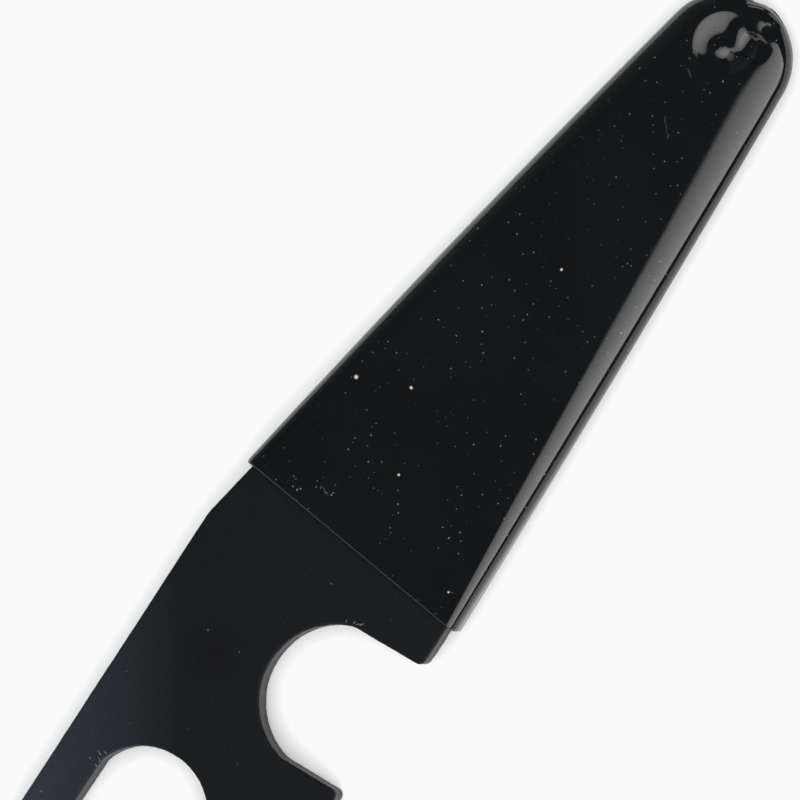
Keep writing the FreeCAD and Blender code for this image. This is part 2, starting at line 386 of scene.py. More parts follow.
def close_grip_mouth(bm):
    """The lip: the open end is rounded over, drawn in to the plate and closed out of sight inside it."""
    across = (FRONT_SHOULDER - LIP_BACK_END).normalized()
    length = (FRONT_SHOULDER - LIP_BACK_END).length
    out = Vector((across.y, -across.x))
    starts = {}
    for share, forward in LIP_RINGS:
        edges = [edge for edge in bm.edges if len(edge.link_faces) == 1]
        made = bmesh.ops.extrude_edge_only(bm, edges=edges)["geom"]
        fresh = [item for item in made if isinstance(item, bmesh.types.BMVert)]
        earlier, starts = starts, {}
        for vert in fresh:
            old = next(e.other_vert(vert) for e in vert.link_edges if e.other_vert(vert) not in fresh)
            starts[vert] = earlier.get(old, old.co.copy())
        for vert, start in starts.items():
            flat = Vector((start.x, start.y)) - LIP_BACK_END
            place = clamp(flat.dot(across), LIP_CLEARANCE, length - LIP_CLEARANCE)
            height = clamp(start.z, PLATE_BASE + LIP_CLEARANCE, PLATE_TOP - LIP_CLEARANCE)
            goal = LIP_BACK_END + across * place
            moved = start.lerp(Vector((goal.x, goal.y, height)), share)
            vert.co = Vector((moved.x + out.x * forward, moved.y + out.y * forward, moved.z))
    edges = [edge for edge in bm.edges if len(edge.link_faces) == 1]
    bmesh.ops.triangle_fill(bm, edges=edges, use_beauty=True)


# ---------------------------------------------------------------- plate


class PlateForm:
    """The blanked plate's outline, walked round with the metal on the left."""

    jaw_steps = 48
    tip_steps = 60
    corner_steps = 12

    def __init__(self, settings):
        self.side_gap = settings.side_jaw_gap / MM
        self.end_gap = settings.end_jaw_gap / MM
        self.step = settings.outline_step / MM

    def jaw(self, bottom, heading, gap, relief):
        """The points of a jaw's round bottom, from the flat on its right to the flat on its left."""
        out = polar(heading)
        right = Vector((out.y, -out.x))
        middle = bottom + out * relief
        # the round is a little wider than the gap, so it stops where it meets the flats
        half_turn = math.degrees(math.asin(gap / 2 / relief))
        points = []
        for step in range(self.jaw_steps + 1):
            turn = math.radians(mix(-half_turn, half_turn, step / self.jaw_steps))
            points.append(middle - out * relief * math.cos(turn) - right * relief * math.sin(turn))
        return points

    def corners(self):
        """(plan point, corner radius) all the way round."""
        side_bottom = Vector((SIDE_JAW_BOTTOM_X, BAR_WIDTH - SIDE_JAW_DEPTH))
        side = self.jaw(side_bottom, SIDE_JAW_HEADING, self.side_gap, SIDE_JAW_RELIEF_RADIUS)
        end_bottom = Vector((BAR_LENGTH - END_JAW_DEPTH, BACK_PRONG_WIDTH + self.end_gap / 2))
        end = self.jaw(end_bottom, 0.0, self.end_gap, END_JAW_RELIEF_RADIUS)
        side_out = polar(SIDE_JAW_HEADING)
        right_mouth = side[0] + side_out * ((BAR_WIDTH - side[0].y) / side_out.y)
        left_mouth = side[-1] + side_out * ((BAR_WIDTH - side[-1].y) / side_out.y)
        walk = [(BACK_SHOULDER, BACK_SHOULDER_RADIUS)]
        walk += [(Vector((BAR_LENGTH, y)), PRONG_CORNER_RADIUS) for y in (0, BACK_PRONG_WIDTH)]
        walk += [(point, 0.0) for point in end]
        upper_y = BACK_PRONG_WIDTH + self.end_gap
        walk += [(Vector((BAR_LENGTH, y)), PRONG_CORNER_RADIUS) for y in (upper_y, BAR_WIDTH)]
        walk += [(right_mouth, SIDE_JAW_CORNER_RADIUS)]
        walk += [(point, 0.0) for point in side]
        walk += [(left_mouth, SIDE_JAW_CORNER_RADIUS), (FRONT_SHOULDER, FRONT_SHOULDER_RADIUS)]
        for step in range(self.tip_steps + 1):
            angle = mix(*TANG_TIP_ANGLES, step / self.tip_steps)
            walk.append((TIP_MIDDLE + polar(angle, TANG_TIP_RADIUS), 0.0))
        return walk

    def outline(self):
        """Evenly spaced plan points, with the corners rounded."""
        walk = self.corners()
        dense = []
        for index, (point, radius) in enumerate(walk):
            before = walk[index - 1][0]
            after = walk[(index + 1) % len(walk)][0]
            if not radius:
                dense.append(point)
                continue
            start, end = (before - point).normalized(), (after - point).normalized()
            half = math.acos(clamp(start.dot(end), -1, 1)) / 2
            reach = radius / math.tan(half)
            middle = point + (start + end).normalized() * radius / math.sin(half)
            first, last = point + start * reach - middle, point + end * reach - middle
            sweep = first.angle_signed(last)
            for step in range(self.corner_steps + 1):
                dense.append(middle + Matrix.Rotation(-sweep * step / self.corner_steps, 2) @ first)
        return self.even(dense)

    def even(self, dense):
        """The same line as points one outline step apart, lightly smoothed."""
        lengths = [(dense[(i + 1) % len(dense)] - dense[i]).length for i in range(len(dense))]
        count = round(sum(lengths) / self.step)
        gap = sum(lengths) / count
        points, index, passed = [], 0, 0.0
        for step in range(count):
            while passed + lengths[index] < step * gap:
                passed += lengths[index]
                index += 1
            share = (step * gap - passed) / max(lengths[index], 1e-9)
            points.append(dense[index].lerp(dense[(index + 1) % len(dense)], share))
        for _ in range(2):
            points = [(points[i - 1] + points[i] * 2 + points[(i + 1) % count]) / 4 for i in range(count)]
        return points


def hidden(point):
    """1 where the plate is inside the grip, 0 where it shows."""
    return smooth(-point.x, 1.0, 5.0)


def plate_rings():
    """(how far in, height from the nearer face, roughness) of each ring up the plate's edge."""
    under = ((0.36, 0.0, 0.0), (0.2, 0.03, 0.3), (0.07, 0.12, 0.6), (0.0, 0.32, 0.7))
    over = ((0.0, 0.34, 0.6), (0.05, 0.13, 1.0), (0.17, 0.035, 1.0), (0.36, 0.0, 0.0))
    thickness = PLATE_TOP - PLATE_BASE
    rings = list(under)
    rings += [(0.015, thickness * share, 0.35) for share in (0.22, 0.38, 0.52, 0.66, 0.8)]
    rings += [(inset, thickness - down, rough) for inset, down, rough in over]
    return rings


def build_plate_edge(bm, points):
    """The plate's edge, raised ring by ring from one outline; returns the edges of its lowest and highest ring.

    The rings bite in and out a little where the plate shows, and are drawn back and rounded where the grip hides it.
    """
    count = len(points)
    inward = []
    for index in range(count):
        run = points[(index + 1) % count] - points[index - 1]
        inward.append(Vector((-run.y, run.x)).normalized())
    thickness = PLATE_TOP - PLATE_BASE
    ring = [bm.verts.new((point.x, point.y, 0)) for point in points]
    edges = [bm.edges.new((ring[index], ring[(index + 1) % count])) for index in range(count)]
    lowest = edges
    for level, (inset, up, rough) in enumerate(plate_rings()):
        if level:
            made = bmesh.ops.extrude_edge_only(bm, edges=edges)["geom"]
            edges = [item for item in made if isinstance(item, bmesh.types.BMEdge) and level_edge(item, made)]
            ring = [upper_of(vert, made) for vert in ring]
        for index, vert in enumerate(ring):
            point = points[index]
            cover = hidden(point)
            bite = 0.05 * ripple(point.x, point.y, up, 0.55, 1.3) + 0.03 * ripple(point.x, point.y, up, 1.6, 4.2)
            wander = 0.045 * ripple(point.x, point.y, 0, 6.0, 9.4)
            depth = inset * (1 + 2.4 * cover) + (bite * rough + wander) * (1 - cover) * frayed(point)
            edge_point = point + inward[index] * depth
            inner = 1 if up < thickness / 2 else -1
            rim = min(up, thickness - up) < 0.4
            lift = up + inner * 1.1 * cover * (1 - smooth(inset, 0.0, 0.3)) * rim
            vert.co = Vector((edge_point.x, edge_point.y, PLATE_BASE + lift))
    return lowest, edges


def frayed(point):
    """How rough the rim is: least along the straight back edge, most where the punch left the jaws."""
    return mix(0.6, 1.35, smooth(point.y, 2.0, 6.0))


def level_edge(edge, made):
    """Whether an edge runs round the new ring, and not up to it."""
    return all(vert in made for vert in edge.verts)


def upper_of(vert, made):
    """The new ring's vertex over an old one."""
    return next(edge.other_vert(vert) for edge in vert.link_edges if edge.other_vert(vert) in made)


def add_hang_hole(bm):
    """The hang hole's wall, with wide countersinks that the sunken vinyl fills."""
    made = bmesh.ops.create_circle(bm, segments=72, radius=HOLE_RINGS[0][0])
    ring = made["verts"]
    bmesh.ops.translate(bm, verts=ring, vec=(HOLE_MIDDLE.x, HOLE_MIDDLE.y, PLATE_BASE))
    edges = list(dict.fromkeys(edge for vert in ring for edge in vert.link_edges))
    lower = list(edges)
    for (old_radius, old_up), (radius, up) in zip(HOLE_RINGS, HOLE_RINGS[1:]):
        fresh = bmesh.ops.extrude_edge_only(bm, edges=edges)["geom"]
        verts = [item for item in fresh if isinstance(item, bmesh.types.BMVert)]
        edges = [item for item in fresh if isinstance(item, bmesh.types.BMEdge) and level_edge(item, fresh)]
        for vert in verts:
            out = (Vector((vert.co.x, vert.co.y)) - HOLE_MIDDLE) * (radius / old_radius)
            vert.co = Vector((HOLE_MIDDLE.x + out.x, HOLE_MIDDLE.y + out.y, vert.co.z + up - old_up))
    return lower, edges


def add_burrs(bm):
    """Hair-thin slivers of coating that stand along the jaws' rims."""
    for (x, y), heading, length in BURRS:
        made = bmesh.ops.create_cone(
            bm, segments=6, radius1=BURR_ROOT_RADIUS, radius2=BURR_POINT_RADIUS, depth=length, cap_ends=True
        )
        verts = made["verts"]
        tilt = Matrix.Rotation(math.radians(BURR_TILT), 3, "Y")
        lay = Matrix.Rotation(math.radians(heading), 3, "Z") @ tilt
        bmesh.ops.rotate(bm, verts=verts, matrix=lay)
        push = polar(heading, length * 0.35)
        bmesh.ops.translate(bm, verts=verts, vec=(x + push.x, y + push.y, PLATE_TOP + 0.03))


def face_outwards(bm):
    """Turns a closed mesh's faces so that it has a positive volume."""
    bmesh.ops.recalc_face_normals(bm, faces=bm.faces)
    if bm.calc_volume(signed=True) < 0:
        bmesh.ops.reverse_faces(bm, faces=bm.faces)


def finish_piece(bm, name, node, material):
    """Moves a finished mesh from plan millimetres into the frame and hands it over as a piece."""
    bmesh.ops.translate(bm, verts=bm.verts, vec=PLAN_ORIGIN)
    bmesh.ops.scale(bm, verts=bm.verts, vec=(MM, MM, MM))
    mesh = bpy.data.meshes.new(name)
    bm.to_mesh(mesh)
    bm.free()
    piece = bpy.data.objects.new(name, mesh)
    bpy.context.scene.collection.objects.link(piece)
    mesh.materials.append(material)
    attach(piece, "root")
    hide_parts(node)
    return piece


# ---------------------------------------------------------------- materials


class Nodes:
    """A short way to place and join shader nodes in one tree."""

    def __init__(self, tree):
        self.tree = tree

    def add(self, kind, inputs=None, **facts):
        """A new node of a kind, with its properties set and its inputs given values or links."""
        node = self.tree.nodes.new("ShaderNode" + kind)
        for name, value in facts.items():
            setattr(node, name, value)
        for name, value in (inputs or {}).items():
            self.put(node.inputs[name], value)
        return node

    def put(self, socket, value):
        """Links an output to a socket, or sets the socket's own value."""
        if isinstance(value, bpy.types.NodeSocket):
            self.tree.links.new(value, socket)
        else:
            socket.default_value = value

    def maths(self, operation, a, b=0.0, c=0.0):
        node = self.add("Math", operation=operation)
        for socket, value in zip(node.inputs, (a, b, c)):
            self.put(socket, value)
        return node.outputs[0]

    def blend(self, share, a, b):
        """Colour a where share is 0, and b where it is 1."""
        node = self.add("Mix", data_type="RGBA")
        for name, value in (("Factor_Float", share), ("A_Color", a), ("B_Color", b)):
            self.put(next(s for s in node.inputs if s.identifier == name), value)
        return next(s for s in node.outputs if s.identifier == "Result_Color")

    def spread(self, value, low, high, out_low=0.0, out_high=1.0):
        """A value stretched from one range to another and held at its ends."""
        node = self.add("MapRange", {"Value": value, "From Min": low, "From Max": high})
        node.inputs["To Min"].default_value = out_low
        node.inputs["To Max"].default_value = out_high
        return node.outputs["Result"]

    def noise(self, vector, scale, detail=2.0, rough=0.5):
        facts = {"Vector": vector, "Scale": scale, "Detail": detail, "Roughness": rough}
        return self.add("TexNoise", facts).outputs[0]


def start_group(name, inputs, outputs):
    """A new node group with its sockets, and its input and output nodes."""
    group = bpy.data.node_groups.new(name, "ShaderNodeTree")
    for label, kind, default in inputs:
        socket = group.interface.new_socket(label, in_out="INPUT", socket_type=kind)
        if default is not None:
            socket.default_value = default
    for label in outputs:
        group.interface.new_socket(label, in_out="OUTPUT", socket_type="NodeSocketFloat")
    nodes = Nodes(group)
    return nodes, group.nodes.new("NodeGroupInput"), group.nodes.new("NodeGroupOutput")


def dust_group():
    """Loose specks: small round grains scattered unevenly, some cells holding one and most holding none."""
    nodes, given, out = start_group(
        "Dust specks",
        (
            ("Place", "NodeSocketVector", None),
            ("Cells per mm", "NodeSocketFloat", 0.8),
            ("Share", "NodeSocketFloat", 0.3),
            ("Size", "NodeSocketFloat", 0.1),
        ),
        ("Mask",),
    )
    given = given.outputs
    cells = nodes.add("TexVoronoi", {"Vector": given["Place"], "Scale": given["Cells per mm"]}).outputs
    pick = nodes.add("SeparateColor", {"Color": cells["Color"]}).outputs
    held = nodes.maths("LESS_THAN", pick["Red"], given["Share"])
    size = nodes.maths("MULTIPLY", given["Size"], nodes.spread(pick["Green"], 0, 1, 0.35, 1.0))
    near = nodes.maths("SUBTRACT", 1.0, nodes.maths("DIVIDE", cells["Distance"], size))
    grain = nodes.spread(near, 0.0, 0.5)
    bright = nodes.spread(pick["Blue"], 0, 1, 0.25, 1.0)
    mask = nodes.maths("MULTIPLY", nodes.maths("MULTIPLY", held, grain), bright)
    nodes.put(out.inputs["Mask"], mask)
    return nodes.tree


def grain_group():
    """Fine unevenness of a set coat: a broad drift and a fine grain, each from 0 to 1."""
    nodes, given, out = start_group(
        "Coat grain",
        (
            ("Place", "NodeSocketVector", None),
            ("Drift per mm", "NodeSocketFloat", 0.08),
            ("Grain per mm", "NodeSocketFloat", 3.0),
        ),
        ("Drift", "Grain"),
    )
    given = given.outputs
    drift = nodes.noise(given["Place"], given["Drift per mm"], 3.0, 0.55)
    grain = nodes.noise(given["Place"], given["Grain per mm"], 3.0, 0.6)
    nodes.put(out.inputs["Drift"], drift)
    nodes.put(out.inputs["Grain"], grain)
    return nodes.tree


def placed(nodes, group, place, **values):
    """A group set in a material with its own values; an underscore stands for a space in a socket's name."""
    node = nodes.add("Group")
    node.node_tree = group
    nodes.put(node.inputs["Place"], place)
    for name, value in values.items():
        nodes.put(node.inputs[name.replace("_", " ")], value)
    return node.outputs


def start_material(name):
    """A new material, its nodes, the place on the object in plan millimetres, and its shader."""
    material = bpy.data.materials.new(name)
    material.use_nodes = True
    material.node_tree.nodes.clear()
    nodes = Nodes(material.node_tree)
    coordinates = nodes.add("TexCoord")
    shift = nodes.add("Mapping", {"Vector": coordinates.outputs["Object"]})
    shift.inputs["Scale"].default_value = (1 / MM, 1 / MM, 1 / MM)
    shift.inputs["Location"].default_value = -PLAN_ORIGIN
    shader = nodes.add("BsdfPrincipled")
    output = nodes.add("OutputMaterial")
    nodes.put(output.inputs["Surface"], shader.outputs[0])
    return material, nodes, shift.outputs["Vector"], shader


def spot(nodes, place, centre, size, soft=0.5):
    """A mask of 1 inside a round spot of the given radius, in plan millimetres."""
    flat = nodes.add("VectorMath", {0: place, 1: (1, 1, 0)}, operation="MULTIPLY")
    away = nodes.add("VectorMath", {0: flat.outputs[0], 1: (*centre, 0)}, operation="DISTANCE")
    return nodes.spread(away.outputs["Value"], size * (1 + soft), size * (1 - soft))


def streak(nodes, place, start, end, width):
    """A mask along a short hair between two plan points."""
    run = Vector(end) - Vector(start)
    turn = nodes.add("Mapping", {"Vector": place}, vector_type="TEXTURE")
    turn.inputs["Location"].default_value = (*start, 0)
    turn.inputs["Rotation"].default_value = (0, 0, math.atan2(run.y, run.x))
    axis = nodes.add("SeparateXYZ", {"Vector": turn.outputs["Vector"]}).outputs
    wander = nodes.spread(nodes.noise(place, 0.9), 0.3, 0.7, -0.25, 0.25)
    side = nodes.maths("ABSOLUTE", nodes.maths("SUBTRACT", axis["Y"], wander))
    line = nodes.spread(side, width, width * 0.4)
    begun = nodes.maths("GREATER_THAN", axis["X"], 0.0)
    inside = nodes.maths("MULTIPLY", begun, nodes.maths("LESS_THAN", axis["X"], run.length))
    return nodes.maths("MULTIPLY", line, inside)


def strongest(nodes, masks):
    """The largest of some masks at each place."""
    total = masks[0]
    for mask in masks[1:]:
        total = nodes.maths("MAXIMUM", total, mask)
    return total


def bumped(nodes, height, strength):
    """A normal raised by a height in millimetres."""
    return nodes.add("Bump", {"Height": height, "Distance": MM, "Strength": strength}).outputs["Normal"]


def vinyl_material(settings, dust, grain):
    """Black vinyl set to a high gloss, with a little dust, lint and one matt fleck in the curl."""
    material, nodes, place, shader = start_material("Gloss black vinyl")
    coat = placed(nodes, grain, place, Drift_per_mm=0.05, Grain_per_mm=1.4)
    fine = placed(nodes, dust, place, Cells_per_mm=1.1, Share=0.5, Size=0.2)
    grains = placed(nodes, dust, place, Cells_per_mm=0.4, Share=0.45, Size=0.075)
    patchy = nodes.spread(nodes.noise(place, 0.09), 0.42, 0.62)
    specks = nodes.maths("ADD", fine["Mask"], grains["Mask"])
    specks = nodes.maths("MULTIPLY", specks, nodes.spread(patchy, 0, 1, 0.25, 1.0))
    crumbs = strongest(nodes, [spot(nodes, place, *crumb) for crumb in CRUMBS])
    lint = strongest(nodes, [streak(nodes, place, *hair) for hair in LINT])
    fleck = spot(nodes, place, FLECK_MIDDLE, FLECK_RADIUS, 0.2)
    colour = nodes.blend(coat["Drift"], (*settings.vinyl_colour, 1), VINYL_DEEP)
    colour = nodes.blend(nodes.maths("MULTIPLY", specks, 0.35), colour, VINYL_DUST)
    colour = nodes.blend(nodes.maths("MULTIPLY", crumbs, 0.8), colour, CRUMB_COLOUR)
    colour = nodes.blend(nodes.maths("MULTIPLY", lint, 0.08), colour, LINT_COLOUR)
    nodes.put(shader.inputs["Base Color"], nodes.blend(fleck, colour, FLECK_COLOUR))
    matt = strongest(nodes, [specks, crumbs, nodes.maths("MULTIPLY", lint, 0.35), fleck])
    gloss = settings.vinyl_roughness
    smear = nodes.spread(coat["Drift"], 0.35, 0.75, gloss, gloss + 0.035)
    nodes.put(shader.inputs["Roughness"], nodes.maths("MAXIMUM", smear, nodes.maths("MULTIPLY", matt, 0.65)))
    peel = nodes.maths("ADD", nodes.maths("MULTIPLY", coat["Grain"], 0.004), nodes.maths("MULTIPLY", matt, 0.03))
    nodes.put(shader.inputs["Normal"], bumped(nodes, peel, 0.7))
    shader.inputs["IOR"].default_value = 1.5
    return material


def steel_material(settings, dust, grain):
    """Satin black coating on the faces, with a painted sheen that grows towards the prongs, and a thinner, browner
    coat with bare streaks on the cut walls.
    """
    material, nodes, place, shader = start_material("Black coated steel")
    coat = placed(nodes, grain, place, Drift_per_mm=0.045, Grain_per_mm=2.6)
    fine = placed(nodes, dust, place, Cells_per_mm=1.7, Share=0.3, Size=0.13)
    grains = placed(nodes, dust, place, Cells_per_mm=0.5, Share=0.35, Size=0.09)
    axis = nodes.add("SeparateXYZ", {"Vector": place}).outputs
    facing = nodes.add("NewGeometry").outputs["Normal"]
    upright = nodes.maths("ABSOLUTE", nodes.add("SeparateXYZ", {"Vector": facing}).outputs["Z"])
    wall = nodes.spread(upright, 0.55, 0.3)
    # painted sheen: across the view the faces' colour turns lighter and bluer towards the prongs, standing in for the
    # lights' broad reflection in the satin coat
    lean = nodes.maths("MULTIPLY_ADD", axis["X"], 0.553, nodes.maths("MULTIPLY", axis["Y"], -0.833))
    sheen = nodes.spread(lean, 9.0, 31.0)
    face = nodes.blend(sheen, (*settings.coat_colour, 1), (*settings.painted_sheen_colour, 1))
    mottle = nodes.spread(coat["Grain"], 0.3, 0.75)
    face = nodes.blend(nodes.maths("MULTIPLY", mottle, 0.55), face, MOTTLE_COLOUR)
    smudge = nodes.maths("MULTIPLY", spot(nodes, place, SMUDGE_MIDDLE, SMUDGE_RADIUS, 0.95), 0.55)
    face = nodes.blend(smudge, face, SMUDGE_COLOUR)
    specks = nodes.maths("ADD", nodes.maths("MULTIPLY", fine["Mask"], 0.5), grains["Mask"])
    face = nodes.blend(nodes.maths("MULTIPLY", specks, 0.2), face, STEEL_DUST)
    stretched = nodes.add("Mapping", {"Vector": place})
    stretched.inputs["Scale"].default_value = (1, 1, 0.18)
    drag = nodes.noise(stretched.outputs["Vector"], 3.2, 2.0, 0.6)
    ragged = nodes.maths("ADD", axis["Z"], nodes.spread(drag, 0.3, 0.7, -0.35, 0.35))
    burnish = nodes.spread(ragged, 2.75, 3.25)
    cut = nodes.blend(burnish, (*settings.break_colour, 1), (*settings.cut_colour, 1))
    cut = nodes.blend(nodes.spread(drag, 0.35, 0.8, 0.0, 0.5), cut, DRAG_COLOUR)
    cut = nodes.blend(nodes.spread(axis["Z"], 1.55, 1.2), cut, LOW_CUT_COLOUR)
    coloured = nodes.blend(wall, face, cut)
    burr = nodes.maths("GREATER_THAN", axis["Z"], PLATE_TOP + 0.02)
    nodes.put(shader.inputs["Base Color"], nodes.blend(burr, coloured, BURR_COLOUR))
    rough = settings.coat_roughness
    satin = nodes.spread(coat["Grain"], 0.3, 0.7, rough - 0.04, rough + 0.08)
    nodes.put(shader.inputs["Roughness"], nodes.maths("ADD", satin, nodes.maths("MULTIPLY", wall, 0.12)))
    relief = nodes.maths("MULTIPLY", coat["Grain"], 0.035)
    relief = nodes.maths("ADD", relief, nodes.maths("MULTIPLY", specks, 0.03))
    torn = nodes.maths("MULTIPLY", drag, wall)
    relief = nodes.maths("ADD", relief, nodes.maths("MULTIPLY", torn, 0.12))
    nodes.put(shader.inputs["Normal"], bumped(nodes, relief, 0.6))
    shader.inputs["Specular IOR Level"].default_value = 0.07
    return material


def shared_groups():
    """The dust and the grain group, each made the first time it is wanted."""
    made = bpy.data.node_groups
    return made.get("Dust specks") or dust_group(), made.get("Coat grain") or grain_group()


# ---------------------------------------------------------------- settings


class WrenchPlateSettings(bpy.types.PropertyGroup):
    side_jaw_gap: bpy.props.FloatProperty(
        name="Side jaw gap", description="Gap between the flats of the large jaw",
        default=22.2 * MM, unit="LENGTH", precision=5,
    )
    end_jaw_gap: bpy.props.FloatProperty(
        name="End jaw gap", description="Gap between the flats of the small jaw",
        default=19.05 * MM, unit="LENGTH", precision=5,
    )
    outline_step: bpy.props.FloatProperty(
        name="Outline step", description="Distance between points along the cut edge",
        default=0.26 * MM, unit="LENGTH", precision=5,
    )
    coat_colour: bpy.props.FloatVectorProperty(
        name="Coat colour", description="Satin coat by the grip",
        subtype="COLOR", size=3, min=0, max=1, default=(0.0048, 0.0055, 0.0062),
    )
    # painted sheen: the lighter, bluer colour the coated faces reach at the prongs, standing in for the lights'
    # reflection in the satin coat
    painted_sheen_colour: bpy.props.FloatVectorProperty(
        name="Painted sheen colour", description="Satin coat at the prongs",
        subtype="COLOR", size=3, min=0, max=1, default=(0.022, 0.0265, 0.034),
    )
    cut_colour: bpy.props.FloatVectorProperty(
        name="Cut colour", description="Upper, smooth part of the cut walls",
        subtype="COLOR", size=3, min=0, max=1, default=(0.06, 0.06, 0.064),
    )
    break_colour: bpy.props.FloatVectorProperty(
        name="Break colour", description="Lower, torn part of the cut walls",
        subtype="COLOR", size=3, min=0, max=1, default=(0.04, 0.034, 0.036),
    )
    coat_roughness: bpy.props.FloatProperty(
        name="Coat roughness", description="Roughness of the satin coat",
        subtype="FACTOR", min=0, max=1, default=0.36,
    )


class WrenchGripSettings(bpy.types.PropertyGroup):
    tip_radius: bpy.props.FloatProperty(
        name="Tip radius", description="Radius of the grip's tip in plan",
        default=10.0 * MM, unit="LENGTH", precision=5,
    )
    dish_radius: bpy.props.FloatProperty(
        name="Dish radius", description="Radius of the dish over the hang hole",
        default=4.75 * MM, unit="LENGTH", precision=5,
    )
    dish_depth: bpy.props.FloatProperty(
        name="Dish depth", description="Depth of the dish over the hang hole",
        default=1.5 * MM, unit="LENGTH", precision=5,
    )
    drip: bpy.props.FloatProperty(
        name="Drip", description="How far the drip stands out from the tip",
        default=0.08 * MM, unit="LENGTH", precision=5,
    )
    fold: bpy.props.FloatProperty(
        name="Fold", description="Depth of the notch where the drip folded over",
        default=0.5 * MM, unit="LENGTH", precision=5,
    )
    unevenness: bpy.props.FloatProperty(
        name="Unevenness", description="How far the skin's face swells and sinks",
        default=0.018 * MM, unit="LENGTH", precision=6,
    )
    vinyl_colour: bpy.props.FloatVectorProperty(
        name="Vinyl colour", description="Colour in the body of the vinyl",
        subtype="COLOR", size=3, min=0, max=1, default=(0.0028, 0.003, 0.0036),
    )
    vinyl_roughness: bpy.props.FloatProperty(
        name="Vinyl roughness", description="Roughness of the vinyl's gloss",
        subtype="FACTOR", min=0, max=1, default=0.07,
    )


class WrenchStageSettings(bpy.types.PropertyGroup):
    camera_heading: bpy.props.FloatProperty(
        name="Camera heading", description="Plan direction of the view's right",
        default=math.radians(123.4), subtype="ANGLE",
    )
    lean_right: bpy.props.FloatProperty(
        name="Lean right", description="How far the camera leans to the right",
        default=math.radians(12.4), subtype="ANGLE",
    )
    lean_down: bpy.props.FloatProperty(
        name="Lean down", description="How far the camera leans down the view",
        default=math.radians(2.0), subtype="ANGLE",
    )
    framed_width: bpy.props.FloatProperty(
        name="Framed width", description="Width that the view takes in",
        default=117.65 * MM, unit="LENGTH", precision=5,
    )
    key_strength: bpy.props.FloatProperty(
        name="Softbox brightness", description="Brightness of the large softbox",
        default=3.1, min=0,
    )
    fill_strength: bpy.props.FloatProperty(
        name="Ceiling brightness", description="Brightness of the wide ceiling panel",
        default=1.75, min=0,
    )
    side_strength: bpy.props.FloatProperty(
        name="Side panel brightness", description="Brightness of the side panel",
        default=1.5, min=0,
    )
    back_card_strength: bpy.props.FloatProperty(
        name="Back card brightness", description="Brightness of the dim card beside the back edge",
        default=0.22, min=0,
    )
    end_card_strength: bpy.props.FloatProperty(
        name="End card brightness", description="Brightness of the card beyond the prongs",
        default=1.5, min=0,
    )
    world_strength: bpy.props.FloatProperty(
        name="Room brightness", description="Brightness of the dim room round the set",
        default=0.05, min=0,
    )
    floor_colour: bpy.props.FloatVectorProperty(
        name="Floor colour", description="Pale floor",
        subtype="COLOR", size=3, min=0, max=1, default=(0.86, 0.865, 0.87),
    )


# ---------------------------------------------------------------- operators


class WRENCH_OT_plate(bpy.types.Operator):
    """Builds the coated steel plate with its two jaws"""

    bl_idname = "wrench.plate"
    bl_label = "Build plate"

    def execute(self, context):
        settings = context.scene.wrench_plate_settings
        bm = bmesh.new()
        lowest, highest = build_plate_edge(bm, PlateForm(settings).outline())
        hole_under, hole_over = add_hang_hole(bm)
        for face_edges in (lowest + hole_under, highest + hole_over):
            bmesh.ops.triangle_fill(bm, edges=face_edges, use_beauty=False)
        face_outwards(bm)
        add_burrs(bm)
        for face in bm.faces:
            face.smooth = abs(face.normal.z) < FLAT_FACE
        material = steel_material(settings, *shared_groups())
        finish_piece(bm, "steel_plate", "wrench_plate", material)
        return {"FINISHED"}


class WRENCH_OT_grip(bpy.types.Operator):
    """Builds the dipped vinyl grip"""

    bl_idname = "wrench.grip"
    bl_label = "Build grip"

    def execute(self, context):
        settings = context.scene.wrench_grip_settings
        form = GripForm(settings)
        bm = bmesh.new()
        for upper in (True, False):
            lay_grip_face(bm, form, upper)
        bmesh.ops.remove_doubles(bm, verts=bm.verts, dist=0.002)
        bmesh.ops.dissolve_degenerate(bm, edges=bm.edges, dist=0.0005)
        close_grip_mouth(bm)
        bmesh.ops.remove_doubles(bm, verts=bm.verts, dist=0.0005)
        face_outwards(bm)
        for face in bm.faces:
            face.smooth = True
        material = vinyl_material(settings, *shared_groups())
        finish_piece(bm, "dipped_grip", "vinyl_grip", material)
        return {"FINISHED"}


def area_light(name, heading, zenith, distance, width, height, glossy=True):
    """A soft panel that faces the object from a plan heading and an angle from straight above, both in degrees."""
    light = bpy.data.lights.new(name, "AREA")
    light.shape = "RECTANGLE"
    light.size, light.size_y = width, height
    panel = bpy.data.objects.new(name, light)
    bpy.context.scene.collection.objects.link(panel)
    out = polar(heading, math.sin(math.radians(zenith)))
    away = Vector((out.x, out.y, math.cos(math.radians(zenith))))
    side = Vector((-out.y, out.x, 0)).normalized() if zenith else Vector((1, 0, 0))
    rise = away.cross(side)
    turn = Matrix((side, rise, away)).transposed().to_4x4()
    panel.matrix_world = Matrix.Translation(away * distance) @ turn
    panel.visible_glossy = glossy
    return panel


def set_brightness(light, foot, top, fade=0.0):
    """Gives a panel its brightness, from its foot to its top edge, and lets the top edge fade out."""
    light.use_nodes = True
    nodes = Nodes(light.node_tree)
    light.energy = math.pi * light.size * light.size_y
    glow = light.node_tree.nodes["Emission"]
    across = nodes.add("SeparateXYZ", {"Vector": nodes.add("NewGeometry").outputs["Parametric"]}).outputs
    strength = nodes.spread(across["Y"], 0.0, 1.0, foot, top)
    if fade:
        strength = nodes.maths("MULTIPLY", strength, nodes.spread(across["Y"], 1.0, 1.0 - fade))
    nodes.put(glow.inputs["Strength"], strength)


